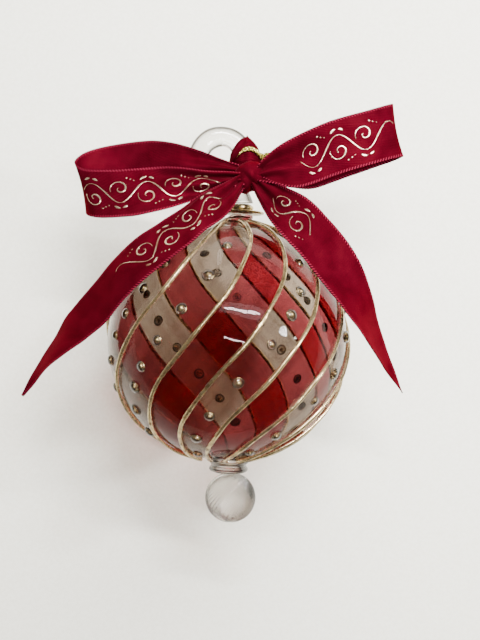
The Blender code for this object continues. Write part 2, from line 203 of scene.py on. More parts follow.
def newNode(tree, kind, settings=None, **inputs):
    # a node with its options set and its inputs given a value or linked to a socket
    node = tree.nodes.new(kind)
    for label, value in (settings or {}).items():
        setattr(node, label, value)
    for label, value in inputs.items():
        socket = node.inputs[int(label[1:])] if label[0] == "i" and label[1:].isdigit() else node.inputs[label]
        if isinstance(value, bpy.types.NodeSocket):
            tree.links.new(value, socket)
        else:
            socket.default_value = value
    return node


def newGroup(name, inputs, floats=()):
    # an empty shader group: float inputs, float outputs and a normal
    tree = bpy.data.node_groups.new(name, 'ShaderNodeTree')
    for label, value in inputs.items():
        tree.interface.new_socket(label, in_out='INPUT', socket_type='NodeSocketFloat').default_value = value
    for label in floats:
        tree.interface.new_socket(label, in_out='OUTPUT', socket_type='NodeSocketFloat')
    tree.interface.new_socket("Normal", in_out='OUTPUT', socket_type='NodeSocketVector')
    return tree, tree.nodes.new("NodeGroupInput"), tree.nodes.new("NodeGroupOutput")


def newMaterial(name, plain):
    # a Principled material with its plain values set
    material = bpy.data.materials.new(name)
    material.use_nodes = True
    shader = material.node_tree.nodes["Principled BSDF"]
    for label, value in plain.items():
        shader.inputs[label].default_value = value
    return material, material.node_tree, shader


def placeGroup(tree, group, **inputs):
    return newNode(tree, "ShaderNodeGroup", {"node_tree": group}, **inputs)


def feed(tree, node, sockets):
    # links sockets to the node's named inputs
    for label, socket in sockets.items():
        tree.links.new(socket, node.inputs[label])


def bumped(tree, height, strength, distance):
    return newNode(tree, "ShaderNodeBump", Strength=strength, Distance=distance, Height=height).outputs[0]


def mixColours(tree, factor, first, second, kind='MIX'):
    return newNode(tree, "ShaderNodeMix", {"data_type": 'RGBA', "blend_type": kind},
                   i0=factor, i6=first, i7=second).outputs[2]


def mapRange(tree, value, low, high, newLow=0.0, newHigh=1.0):
    return newNode(tree, "ShaderNodeMapRange", i0=value, i1=low, i2=high, i3=newLow, i4=newHigh).outputs[0]


def objectNoise(tree, **inputs):
    # noise over the piece's own coordinates
    place = tree.nodes.new("ShaderNodeTexCoord")
    return newNode(tree, "ShaderNodeTexNoise", Vector=place.outputs["Object"], **inputs).outputs[0]


def panelValues(tree):
    # x, y and z of the piece's panel attribute
    panel = newNode(tree, "ShaderNodeAttribute", {"attribute_name": "panel"})
    return newNode(tree, "ShaderNodeSeparateXYZ", Vector=panel.outputs["Vector"]).outputs


def showThrough(material, factor, tint=(1, 1, 1, 1)):
    # the material's own shader, giving way to a tinted clear one where the factor is 1
    tree = material.node_tree
    clear = newNode(tree, "ShaderNodeBsdfTransparent", Color=tint)
    mix = newNode(tree, "ShaderNodeMixShader", i0=factor, i1=tree.nodes["Principled BSDF"].outputs[0],
                  i2=clear.outputs[0])
    tree.links.new(mix.outputs[0], tree.nodes["Material Output"].inputs["Surface"])


def letLightThrough(material, tint):
    # shadow rays pass the glass, coloured by it, so what lies behind is lit without caustics
    path = material.node_tree.nodes.new("ShaderNodeLightPath")
    showThrough(material, path.outputs["Is Shadow Ray"], tint)


# Effects shared by several finishes

def makeWobbleGroup():
    # hand-blown unevenness: soft swells and a little fine ripple, as a normal
    tree, given, out = newGroup("handBlown", {"Swell": 0.2, "Scale": 90.0})
    noise = objectNoise(tree, Scale=given.outputs["Scale"], Detail=1.5, Roughness=0.4)
    feed(tree, out, {"Normal": bumped(tree, noise, given.outputs["Swell"], 0.0012)})
    return tree


def makeWearGroup():
    # gilding: cloudy tone, a roughness that goes with it and a pitted normal
    tree, given, out = newGroup("giltWear", {"Scale": 700.0, "Pits": 0.25}, ("Tone", "Rough"))
    cloud = objectNoise(tree, Scale=given.outputs["Scale"], Detail=3.0, Roughness=0.6)
    feed(tree, out, {"Tone": mapRange(tree, cloud, 0.35, 0.65), "Rough": mapRange(tree, cloud, 0.3, 0.7, 0.16, 0.38),
                     "Normal": bumped(tree, cloud, given.outputs["Pits"], 0.0003)})
    return tree


def makeWeaveGroup():
    # satin: floats that run along the cloth at a slant, and a corded selvedge, read from the cloth's own map
    inputs = {"Period": 0.00052, "Slant": 0.3, "Edge": 0.0075, "Cord": 0.0009}
    tree, given, out = newGroup("satinWeave", inputs, ("Shade", "Edge", "Rib"))

    def maths(operation, first, second=0.0):
        return newNode(tree, "ShaderNodeMath", {"operation": operation}, i0=first, i1=second).outputs[0]

    def wave(value, period):
        return maths('SINE', maths('DIVIDE', maths('MULTIPLY', value, 2 * pi), given.outputs[period]))

    def grain(scale):
        return newNode(tree, "ShaderNodeTexNoise", {"noise_dimensions": '2D'}, Vector=cloth.outputs[0],
                       Scale=scale, Detail=2.0).outputs[0]

    cloth = newNode(tree, "ShaderNodeUVMap", {"uv_map": "cloth"})
    split = newNode(tree, "ShaderNodeSeparateXYZ", Vector=cloth.outputs[0])
    across, along = split.outputs[0], split.outputs[1]
    away = maths('ABSOLUTE', across)
    floats = wave(maths('ADD', across, maths('MULTIPLY', along, given.outputs["Slant"])), "Period")
    rib = mapRange(tree, wave(maths('ADD', along, maths('MULTIPLY', away, 0.6)), "Cord"), -0.1, 0.6)
    atEdge = maths('GREATER_THAN', away, given.outputs["Edge"])
    fine, broad = grain(2600.0), grain(160.0)
    height = maths('ADD', maths('MULTIPLY', floats, 0.4), maths('MULTIPLY', fine, 0.7))
    height = maths('ADD', height, maths('MULTIPLY', atEdge, maths('MULTIPLY', rib, 2.4)))
    shade = maths('ADD', maths('MULTIPLY', floats, 0.12), maths('MULTIPLY', fine, 0.5))
    shade = maths('ADD', shade, maths('SUBTRACT', broad, 0.25))
    normal = bumped(tree, height, 0.35, 0.00008)
    feed(tree, out, {"Shade": shade, "Edge": atEdge, "Rib": rib, "Normal": normal})
    return tree


handBlown, giltWear, satinWeave = makeWobbleGroup(), makeWearGroup(), makeWeaveGroup()


# Finishes

def makeBallGlass(look):
    # clear and red panels from the ball's own attribute: x is the panel's red, y and z run with the swirl
    material, tree, shader = newMaterial("swirledGlass", {
        "Roughness": 0.015, "IOR": look["ior"], "Transmission Weight": 1.0, "Specular IOR Level": look["mirror"]})
    panelRed, around, along = panelValues(tree)
    stretch = newNode(tree, "ShaderNodeCombineXYZ", i1=around, i2=along)
    streak = newNode(tree, "ShaderNodeTexNoise", Vector=stretch.outputs[0], Scale=look["streaks"], Detail=3.0)
    deep = mapRange(tree, streak.outputs[0], 0.35, 0.68)
    red = mixColours(tree, deep, look["red"], look["deepRed"])
    # painted shade, in part: both clear-panel tints are far darker than clear glass, standing in for the shaded
    # ground seen through the ball; the streaks between them are the glass's own
    clear = mixColours(tree, deep, look["clear"], look["shadedClear"])
    # painted shade: where the ball is seen edge on, its colour is multiplied down towards the dark limb colour
    sight = newNode(tree, "ShaderNodeLayerWeight", Blend=0.5)
    limb = mapRange(tree, sight.outputs["Facing"], look["limbShadeFrom"], look["limbShadeTo"])
    colour = mixColours(tree, limb, mixColours(tree, panelRed, clear, red), look["limb"], 'MULTIPLY')
    blown = placeGroup(tree, handBlown, Swell=look["swell"])
    feed(tree, shader, {"Base Color": colour, "Normal": blown.outputs[0]})
    letLightThrough(material, mixColours(tree, panelRed, look["clearShade"], look["redShade"]))
    return material


def makeClearGlass(name, look):
    # thick glass: painted shade deepens its colour where it is seen edge on
    material, tree, shader = newMaterial(name, {"Roughness": 0.01, "IOR": look["ior"], "Transmission Weight": 1.0})
    sight = newNode(tree, "ShaderNodeLayerWeight", Blend=0.5)
    # painted shade: the rim mask grows towards the edges seen side on
    rim = mapRange(tree, sight.outputs["Facing"], look["edgeShadeFrom"], look["edgeShadeTo"])
    blown = placeGroup(tree, handBlown, Swell=look["swell"], Scale=look["scale"])
    feed(tree, shader, {"Base Color": mixColours(tree, rim, look["colour"], look["rim"]),
                        "Normal": blown.outputs[0]})
    letLightThrough(material, look["shade"])
    return material


def makeGilt(name, look):
    # worn gold; its underside, where the piece's attribute is 1, is painted light: a brighter gold that stands in
    # for the light reaching it through the ball
    material, tree, shader = newMaterial(name, {"Metallic": look["metal"]})
    wear = placeGroup(tree, giltWear, Scale=look["scale"], Pits=look["pits"])
    colour = mixColours(tree, wear.outputs["Tone"], look["bright"], look["dull"])
    if "under" in look:
        # painted light: the side lying on the glass takes the brighter under colour
        colour = mixColours(tree, panelValues(tree)[0], colour, look["under"])
    feed(tree, shader, {"Base Color": colour, "Roughness": wear.outputs["Rough"], "Normal": wear.outputs["Normal"]})
    return material


def makeSatin(look):
    # cloth between two reds by the weave's shade, with a corded selvedge of its own
    material, tree, shader = newMaterial("crimsonSatin", {
        "Roughness": look["roughness"], "Metallic": look["metal"], "Specular IOR Level": 0.0,
        "Specular Tint": look["glossTint"], "Sheen Weight": look["sheen"], "Sheen Roughness": 0.35,
        "Sheen Tint": look["sheenTint"]})
    weave = placeGroup(tree, satinWeave)
    cloth = mixColours(tree, weave.outputs["Shade"], look["deep"], look["bright"])
    cord = mixColours(tree, weave.outputs["Rib"], look["edgeDeep"], look["edgeBright"])
    feed(tree, shader, {"Base Color": mixColours(tree, weave.outputs["Edge"], cloth, cord),
                        "Normal": weave.outputs["Normal"]})
    return material


ballGlass = makeBallGlass({
    "ior": 1.16, "mirror": 0.5, "streaks": 1.6, "swell": 0.2,
    # the clear panels' two tints are darkened by painted shade
    "clear": (0.52, 0.465, 0.42, 1), "shadedClear": (0.42, 0.36, 0.315, 1),
    "red": (0.385, 0.080, 0.100, 1), "deepRed": (0.30, 0.054, 0.072, 1),
    # painted shade: limb is the dark colour laid over the ball where it is seen edge on
    "limb": (0.26, 0.205, 0.18, 1), "limbShadeFrom": 0.38, "limbShadeTo": 0.95,
    "clearShade": (0.54, 0.49, 0.45, 1), "redShade": (0.44, 0.28, 0.25, 1)})
# in both clear glasses, rim is painted shade laid over the glass where it is seen edge on
clearGlass = makeClearGlass("clearGlass", {
    "ior": 1.5, "swell": 0.12, "scale": 160.0, "colour": (0.97, 0.96, 0.94, 1),
    "rim": (0.05, 0.042, 0.035, 1), "edgeShadeFrom": 0.03, "edgeShadeTo": 0.26, "shade": (0.82, 0.80, 0.77, 1)})
dropGlass = makeClearGlass("dropGlass", {
    "ior": 1.5, "swell": 0.06, "scale": 220.0, "colour": (0.95, 0.93, 0.89, 1),
    "rim": (0.10, 0.075, 0.055, 1), "edgeShadeFrom": 0.04, "edgeShadeTo": 0.4, "shade": (0.66, 0.60, 0.55, 1)})
# under: painted light on the gilding's glass-facing side
gilt = makeGilt("giltGlass", {
    "metal": 0.95, "scale": 420.0, "pits": 0.3, "under": (1.0, 0.78, 0.46, 1),
    "bright": (0.52, 0.40, 0.20, 1), "dull": (0.13, 0.085, 0.04, 1)})
foilGold = makeGilt("foilPrint", {
    "metal": 0.9, "scale": 170.0, "pits": 0.5, "bright": (0.84, 0.65, 0.46, 1), "dull": (0.26, 0.14, 0.08, 1)})
cordGold = makeGilt("goldCord", {
    "metal": 0.9, "scale": 1500.0, "pits": 0.5, "bright": (0.64, 0.56, 0.15, 1), "dull": (0.38, 0.32, 0.07, 1)})
satin = makeSatin({
    "roughness": 0.45, "metal": 0.3, "glossTint": (1.0, 0.16, 0.24, 1), "sheen": 0.05,
    "sheenTint": (1.0, 0.15, 0.25, 1), "deep": (0.021, 0.0004, 0.0016, 1), "bright": (0.063, 0.0021, 0.0068, 1),
    "edgeDeep": (0.012, 0.0, 0.001, 1), "edgeBright": (0.19, 0.012, 0.032, 1)})
print("finishes ready")


# Ball: a hollow blown shell with its neck

ball = {
    "wall": 0.6, "rows": 112, "from": -88.6, "sphereTo": 76.0,   # the sphere's latitudes, degrees
    "threads": (-95, -48, -16, 8, 32, 58.5, 86, 104.5, 122, 140, 169, 198, 229.5),   # at the equator, degrees
    "swirl": 58.7, "swirlRate": 0.77, "swirlLag": 5.7, "backTurn": 6.0, "backCurl": 20.0,
    "redPanels": (2, 4, 6, 8, 10, 12), "streakSpread": 5.0, "streakRise": 0.012,
    # columns of points across a panel, as shares of its width
    "across": (0, 0.014, 0.05, 0.12, 0.2, 0.28, 0.36, 0.44, 0.52, 0.6, 0.68, 0.76, 0.84, 0.9, 0.95, 0.986),
    # the neck's rings: radius and height, how much of the wall each is set in inside, and the lean to the right
    "neck": ((4.9, 37.7), (4.5, 38.7), (4.1, 39.3), (3.5, 40.1), (1.6, 40.1)), "neckBend": 2.3,
    "neckInset": ((1, 0.5), (1, 0), (1, 0.5), (1, 1), (0.5, 1)), "neckShift": (1.9, 2.6, 3.1, 3.1),
    "neckTurn": (77, 84, 85, 86, 87),   # latitudes that the swirl takes the neck to be at
}


def swirlAt(latitude, row):
    # degrees turned at a latitude: swirl tanh(rate lat) - lag lat^2, and further at the ball's back by
    # sin(row / 2)^6 (turn lat + curl lat^2 above the equator), row being the place at the equator
    angle = np.radians(latitude)
    further = ball["backTurn"] * angle + ball["backCurl"] * np.maximum(angle, 0) ** 2
    return (ball["swirl"] * np.tanh(ball["swirlRate"] * angle) - ball["swirlLag"] * angle ** 2
            + np.sin(np.radians(row) / 2) ** 6 * further)


def onBall(radius, latitude, longitude):
    # centre + radius (cos lat sin lon, -cos lat cos lon, sin lat); longitude 0 faces the viewer
    lat = np.radians(latitude)
    return globeCentre + roundAxis(np.radians(longitude), radius * np.cos(lat), radius * np.sin(lat))


def blownWall(radius, inset):
    # rings of the sphere, then a Bezier curve in to the neck, which leans to its right
    latitude = np.linspace(ball["from"], ball["sphereTo"], ball["rows"])
    sphere = radius * stacked(np.cos(np.radians(latitude)), np.sin(np.radians(latitude)))
    start, edge = sphere[-1], radians(ball["sphereTo"])
    bend = start + ball["neckBend"] * np.array((-sin(edge), cos(edge)))
    neck = np.array(ball["neck"]) - inset * np.array(ball["neckInset"])
    t = np.linspace(0, 1, 9)[1:, None]
    curve = (1 - t) ** 3 * start + 3 * t * (1 - t) ** 2 * bend + 3 * t ** 2 * (1 - t) * neck[0] + t ** 3 * neck[1]
    ringRadius, ringHeight = np.vstack((sphere, curve, neck[2:])).T[..., None]
    ease = (t * t * (3 - 2 * t))[:, 0]
    shift = np.concatenate((0 * latitude, ball["neckShift"][0] * ease, ball["neckShift"][1:]))[:, None]
    neckTurn = ball["neckTurn"]
    turn = np.concatenate((latitude, np.linspace(neckTurn[0], neckTurn[1], len(curve)), neckTurn[2:]))[:, None]
    bounds = np.array(ball["threads"] + (ball["threads"][0] + 360,), dtype=float)
    fractions = np.array(ball["across"])
    columns = (bounds[:-1, None] + np.diff(bounds)[:, None] * fractions).ravel()
    longitude = np.radians(columns + swirlAt(turn, columns))
    grid = roundAxis(longitude, ringRadius, ringHeight)
    grid[..., 0] += shift
    shape = closedRings(grid + globeCentre, inward=inset > 0)
    red = np.repeat([float(k in ball["redPanels"]) for k in range(len(ball["threads"]))], len(fractions))
    around, spread = np.radians(columns), ball["streakSpread"]
    values = stacked(red, spread * np.sin(around), spread * np.cos(around) + ball["streakRise"] * turn)
    shape["values"] = np.vstack((values.reshape(-1, 3), (0.5, 0, 0), (0.5, 0, 0)))
    return shape


walls = [blownWall(globeRadius, 0.0), blownWall(globeRadius - ball["wall"], ball["wall"])]
makePiece("globeShell", joined(walls), ballGlass, ["globe"])
print("ball blown")


# Gilt threads laid from the neck to the foot along the swirl

thread = {"radius": 0.62, "top": 80.0, "bottom": -77.5, "points": 130, "sides": 12, "taper": 110.0,
          "drift": (0.5, 0.3), "uneven": (0.1, 0.06)}


def threadShape(number, longitude):
    # a round section on the ball's surface, its width and its route a little uneven
    draws = np.random.default_rng(number)
    s = np.linspace(0, 1, thread["points"])
    latitude = thread["top"] + (thread["bottom"] - thread["top"]) * s
    phase = draws.uniform(0, 2 * pi, 4)
    waves = [np.sin(k * pi * s + start) for k, start in zip((5, 11, 9, 23), phase)]
    drift = thread["drift"][0] * waves[0] + thread["drift"][1] * waves[1]
    width = thread["radius"] * (1 + thread["uneven"][0] * waves[2] + thread["uneven"][1] * waves[3])
    width = width * np.sqrt(np.clip(np.minimum(s, 1 - s) * thread["taper"] / thread["radius"], 0.02, 1))
    longitudes = longitude + swirlAt(latitude, longitude) + drift
    path = onBall(globeRadius + thread["radius"] * 0.98, latitude, longitudes)
    shape = carried(path, unit(path - globeCentre), width, 0.96 * width, thread["sides"])
    # painted light: the side of the thread that lies on the glass is marked for the brighter gold
    under = np.sin(fullTurn(thread["sides"])) < 0.1
    shape["values"] = asPanel(np.concatenate((np.tile(under, len(path)), (0, 0))))
    return shape


for number, longitude in enumerate(ball["threads"], start=1):
    makePiece(f"giltThread{number:02d}", threadShape(number, longitude), gilt,
              [f"gilt_thread_{number:02d}"])
print("threads laid:", len(ball["threads"]))


# Glass dots with a gilt bead in each, down the middle of the clear panels

dots = {
    "rows": {-62: (49, 36, 23, 11, 1, -11, -25, -40), -31: (48, 30, 14, 0, -12, -22, -35, -50),
             20: (40, 24, 13, 0, -17, -34, -49, -66), 73: (46, 32, 17, 4, -13, -26, -46, -61),
             113: (50, 36, 22, 8, -6, -20, -34, -49), 154.5: (50, 37, 23, 9, -5, -20, -35, -49),
             214: (50, 36, 22, 8, -6, -20, -34, -49)},
    "radius": 1.75, "height": 1.05, "foot": 0.03, "sides": 22,
    "bead": 0.9, "beadHeight": 0.84, "beadFoot": 0.06, "beadSides": 18, "uneven": 0.12,
}


def dotPlaces():
    # centres on the ball and a frame for each: two directions along the glass and one out of it
    pairs = [(row, latitude) for row, latitudes in dots["rows"].items() for latitude in latitudes]
    row, latitude = np.array(pairs, dtype=float).T
    centres = onBall(globeRadius, latitude, row + swirlAt(latitude, row))
    out = unit(centres - globeCentre)
    side = unit(np.cross((0.0, 0.0, 1.0), out))
    frames = stacked(side, np.cross(out, side), out)
    scales = 1 + dots["uneven"] * np.random.default_rng(5).uniform(-1, 1, len(centres))
    return centres, frames, scales


def domeShape(radius, height, foot, sides):
    # half an ellipse over a flat foot, turned round the dot's own axis
    profile = [(0.5 * radius, foot), (0.93 * radius, foot)]
    profile += [(radius * cos(t), foot + 0.1 + (height - 0.1) * sin(t)) for t in np.linspace(0, pi / 2, 8)[:-1]]
    return turned(profile + [(0.18 * radius, foot + height - 0.01)], sides)


places = dotPlaces()
glassDot = domeShape(dots["radius"], dots["height"], dots["foot"], dots["sides"])
bead = domeShape(dots["bead"], dots["beadHeight"], dots["beadFoot"], dots["beadSides"])
# painted light: the bead's foot, which lies on the glass, is marked for the brighter gold
bead["values"] = asPanel(bead["points"][:, 2] < dots["beadFoot"] + 0.05)
makePiece("glassDots", scattered(glassDot, *places), clearGlass, ["globe"])
makePiece("dotBeads", scattered(bead, *places), gilt, ["globe"])
print("dots set:", len(places[0]))


# Gilt collar: a squashed bead over a thin flange

collar = {"axis": 7.2, "top": -18.1, "bottom": -21.3, "bead": 3.6, "flange": 7.0, "flangeThick": 0.8,
          "bore": 2.0, "waist": 3.3, "dent": 0.035}


def collarShape():
    # profile of the flange and the bead above it, turned, then dented a little by hand:
    # radius (1 + dent sin(2 angle + 0.8))
    low, thick = collar["bottom"], collar["flangeThick"]
    step = low + thick
    half = (collar["top"] - step) / 2
    rim = ((0.9, 0.05), (0.98, 0.25), (1, 0.5), (0.97, thick - 0.05), (0.9, thick), (0.7, thick + 0.02))
    profile = [(collar["bore"], low)] + [(collar["flange"] * r, low + h) for r, h in rim]
    profile += [(collar["waist"], step + 0.1)]
    profile += [(collar["bead"] * max(cos(t), 0.02) ** 0.55, step + half + half * sin(t))
                for t in np.linspace(-0.35 * pi, pi / 2, 14)[2:]]
    shape = turned(profile, 56)
    x, y = shape["points"].T[:2]
    dent = 1 + collar["dent"] * np.sin(2 * np.arctan2(y, x) + 0.8)
    shape["points"][:, :2] *= dent[:, None]
    shape["points"][:, 0] += collar["axis"]
    return shape


makePiece("giltCollar", collarShape(), gilt, ["gilt_collar"], sharp=60)


# Hanging ring of thick clear glass, and the stem it stands on

ring = {"limb": 7.25, "halfWidth": 3.25, "halfThick": 2.2, "shoulders": 0.8, "uneven": (0.02, 0.012),
        "stemFoot": (7.2, 0.0, -17.8), "stemRise": 2.6, "stemStop": 7.0, "footRadius": 3.5, "topRadius": 2.3}


def aroundLimb(angle, turn, offset):
    # points round the ring's glass: angle goes round the ring, turn round its section, offset outwards
    reach = ring["limb"] + (ring["halfWidth"] + offset) * np.cos(turn)
    depth = (ring["halfThick"] + offset) * np.sin(turn)
    return ringCentre + stacked(reach * np.cos(angle), depth, reach * np.sin(angle))


def ringShape():
    # a flattened section with full shoulders, carried round a circle
    angle = fullTurn(144)[:, None]
    c, s = superellipse(fullTurn(40), ring["shoulders"])
    uneven = 1 + ring["uneven"][0] * np.sin(3 * angle + 1) + ring["uneven"][1] * np.sin(7 * angle)
    reach = ring["limb"] + ring["halfWidth"] * uneven * c
    depth = ring["halfThick"] * uneven * s
    return closedBand(ringCentre + stacked(reach * np.cos(angle), depth, reach * np.sin(angle)))


def stemShape():
    # rises from its foot and bends towards the ring's centre, thinning as it goes
    foot = np.array(ring["stemFoot"])
    bend = foot + (0, 0, ring["stemRise"])
    head = ringCentre - ring["stemStop"] * unit(ringCentre - foot)
    t = np.linspace(0, 1, 22)[:, None]
    path = (1 - t) ** 2 * foot + 2 * t * (1 - t) * bend + t ** 2 * head
    width = ring["footRadius"] + (ring["topRadius"] - ring["footRadius"]) * np.sin(pi / 2 * t[:, 0])
    return carried(path, np.array((0.0, -1.0, 0.0)) + 0 * path, width, width, 40)


def fused(first, second):
    # two closed glass forms made one with a Boolean union
    second.hide_render = True
    modifier = first.modifiers.new("Fuse", 'BOOLEAN')
    modifier.operation, modifier.solver, modifier.object = 'UNION', 'EXACT', second
    bpy.context.view_layer.update()
    mesh = bpy.data.meshes.new_from_object(first.evaluated_get(bpy.context.evaluated_depsgraph_get()))
    first.modifiers.clear()
    old = first.data
    first.data = mesh
    mesh.name = first.name
    bpy.data.meshes.remove(old)
    bpy.data.objects.remove(second, do_unlink=True)


hangingRing = makePiece("hangingRing", ringShape(), clearGlass, ["hanging_ring"])
fused(hangingRing, meshObject("stemForm", stemShape()))
print("ring and stem fused:", len(hangingRing.data.polygons), "faces")


# Glass collar and ridged drop under the ball

foot = {"radius": 6.5, "axis": 6.0, "rim": -98.9, "base": -104.0, "room": 0.08}
drop = {"centre": (7.0, 0.0, -111.97), "radius": 8.1, "depth": 5.7, "seat": 2.6, "ribs": 34,
        "ribHeight": 0.3, "twist": 1.5}


def footShape():
    # turned collar whose upper face follows the ball: height = the lower of the rim and the ball's underside
    height = foot["rim"] - foot["base"]
    steps = ((0.3, 0.0), (0.62, 0.0), (0.74, 0.03), (0.9, 0.1), (0.96, 0.2), (0.95, 0.32), (0.88, 0.42),
             (0.86, 0.5), (0.9, 0.58), (0.98, 0.66), (1.0, 0.78), (0.99, 0.9), (0.95, 0.98), (0.9, 1.0),
             (0.75, 1.0), (0.5, 1.0), (0.25, 1.0), (0.1, 1.0))
    profile = [(foot["radius"] * r, foot["base"] + height * h) for r, h in steps]
    shape = turned(profile, 72, (foot["axis"], 0.0, 0.0))
    x, y, z = shape["points"].T
    away = (x - globeCentre[0]) ** 2 + y ** 2
    under = globeCentre[2] - np.sqrt((globeRadius + foot["room"]) ** 2 - away)
    shape["points"][:, 2] = np.minimum(z, under)
    return shape


def dropShape():
    # a flattened ball with twisted ribs: radius + height sin(ribs (longitude + twist sin latitude)), the
    # ribs faded at the poles
    top = pi / 2 - np.arcsin(drop["seat"] / drop["radius"])
    lat = np.linspace(-pi / 2 + 0.02, top, 90)[:, None]
    lon = fullTurn(320)
    wave = np.sin(drop["ribs"] * (lon + drop["twist"] * np.sin(lat)) + 3 * np.sin(2 * lat))
    reach = drop["radius"] - drop["ribHeight"] + drop["ribHeight"] * wave * np.cos(lat) ** 0.5
    grid = roundAxis(lon, reach * np.cos(lat), reach * np.sin(lat), drop["depth"] / drop["radius"])
    return closedRings(grid + np.array(drop["centre"]))


makePiece("finialCollar", footShape(), clearGlass, ["finial_collar"], sharp=60)
makePiece("finialDrop", dropShape(), dropGlass, ["finial_drop"], sharp=70)
print("collar and drop made")


# Satin ribbon. A station holds x, y, z of the cloth's middle, the lean of its width from the
# vertical, the turn of its width away from the viewer (degrees) and the share of it that is spread.
# Loops and a tail's first station are in ribbon widths from the knot, the rest of a tail in ball radii
# from the ball's centre.

ribbon = {
    "width": 16.5, "thick": 0.3, "rowStep": 0.3, "pleats": 2, "pleatDepth": 0.42, "tooth": 0.12,
    "wave": (0.3, 31), "ripple": (0.06, 12), "cup": 0.3,   # heights, and lengths along the cloth
    "inside": 7.4,   # half of the width inside the selvedges
    "turnRadii": (3.5, 4.7),   # of the turns round the ring's limb and round the bow's middle
    "ballRoom": 1.6,   # between the ball and the middle of the tails' cloth
    "leftLoop": (
        (-0.10, 0.12, 0.13, -14, 0, 0.27), (-0.51, 0.12, 0.17, -10, 0, 0.42), (-0.93, 0.13, 0.17, -7, 0, 0.71),
        (-1.42, 0.17, 0.20, -6, 0, 0.92), (-1.90, 0.24, 0.21, -5, 0, 1), (-2.39, 0.29, 0.15, -5, 0, 1),
        (-2.84, 0.28, 0.04, -7, 0, 1), (-3.12, 0.18, -0.10, -11, 0, 1), (-3.20, 0.01, -0.28, -15, 0, 1),
        (-3.02, -0.16, -0.40, -16, 15, 1), (-2.68, -0.25, -0.42, -13, 20, 1), (-2.19, -0.29, -0.38, -8, 20, 1),
        (-1.72, -0.28, -0.30, -8, 20, 0.94), (-1.27, -0.25, -0.22, -8, 10, 0.72),
        (-0.81, -0.22, -0.15, -9, 0, 0.48), (-0.39, -0.19, -0.06, -12, 0, 0.31),
        (-0.08, -0.16, -0.02, -12, 0, 0.22)),
    "rightLoop": (
        (0.13, -0.16, 0.05, -17, 0, 0.22), (0.39, -0.22, 0.16, -16, 0, 0.56), (0.82, -0.28, 0.28, -14, 0, 0.92),
        (1.56, -0.32, 0.60, -12.5, 0, 1), (2.21, -0.30, 0.82, -12.5, 0, 1), (2.58, -0.22, 0.95, -13.5, 0, 1),
        (2.76, -0.04, 1.02, -14.5, 0, 1), (2.61, 0.16, 0.95, -13.5, 0, 1), (2.23, 0.24, 0.81, -11.5, 0, 1),
        (1.59, 0.27, 0.56, -11.5, 0, 1), (1.04, 0.24, 0.30, -15, 0, 0.87), (0.54, 0.17, 0.19, -17, 0, 0.54),
        (0.19, 0.12, 0.12, -20, 0, 0.24)),
    "leftTail": (
        (-0.15, -0.19, -0.06, -38, 0, 0.25), (-0.055, -0.36, 1.171, -39, 12, 0.5),
        (-0.253, -0.487, 1.008, -40, 40, 0.85), (-0.437, -0.558, 0.842, -41, 44, 1),
        (-0.634, -0.584, 0.684, -43, 44, 1), (-0.805, -0.574, 0.521, -45, 44, 1),
        (-0.945, -0.524, 0.361, -48, 44, 1), (-1.076, -0.445, 0.208, -48, 46, 1),
        (-1.218, -0.35, 0.071, -48, 52, 1), (-1.353, -0.25, -0.074, -48, 55, 0.8),
        (-1.524, -0.145, -0.263, -52, 58, 0.46), (-1.695, -0.05, -0.526, -56, 60, 0.04)),
    "rightTail": (
        (0.13, -0.19, -0.06, 44, 0, 0.27), (0.353, -0.35, 1.153, 44, 10, 0.62),
        (0.476, -0.44, 1.039, 44, 25, 0.9), (0.592, -0.5, 0.921, 44, 28, 1),
        (0.703, -0.52, 0.808, 45, 28, 1), (0.803, -0.53, 0.689, 48, 28, 1),
        (0.892, -0.51, 0.574, 52, 35, 1), (0.987, -0.46, 0.432, 56, 45, 1),
        (1.066, -0.395, 0.3, 58, 52, 1), (1.153, -0.32, 0.15, 60, 60, 1),
        (1.247, -0.24, -0.013, 60, 64, 0.75), (1.355, -0.15, -0.197, 59, 66, 0.36),
        (1.476, -0.05, -0.384, 59, 68, 0.04)),
}
acrossCloth = np.concatenate((
    (-1, -0.975, -0.92), np.linspace(-0.84, 0.84, 21), (0.92, 0.975, 1)))   # share of the half width


def placed(name):
    # a strip's stations with their middles in mm
    rows = np.array(ribbon[name], dtype=float)
    near = 1 if "Tail" in name else len(rows)
    rows[:near, :3] = knotCentre + rows[:near, :3] * ribbon["width"]
    rows[near:, :3] = globeCentre + rows[near:, :3] * globeRadius
    return rows


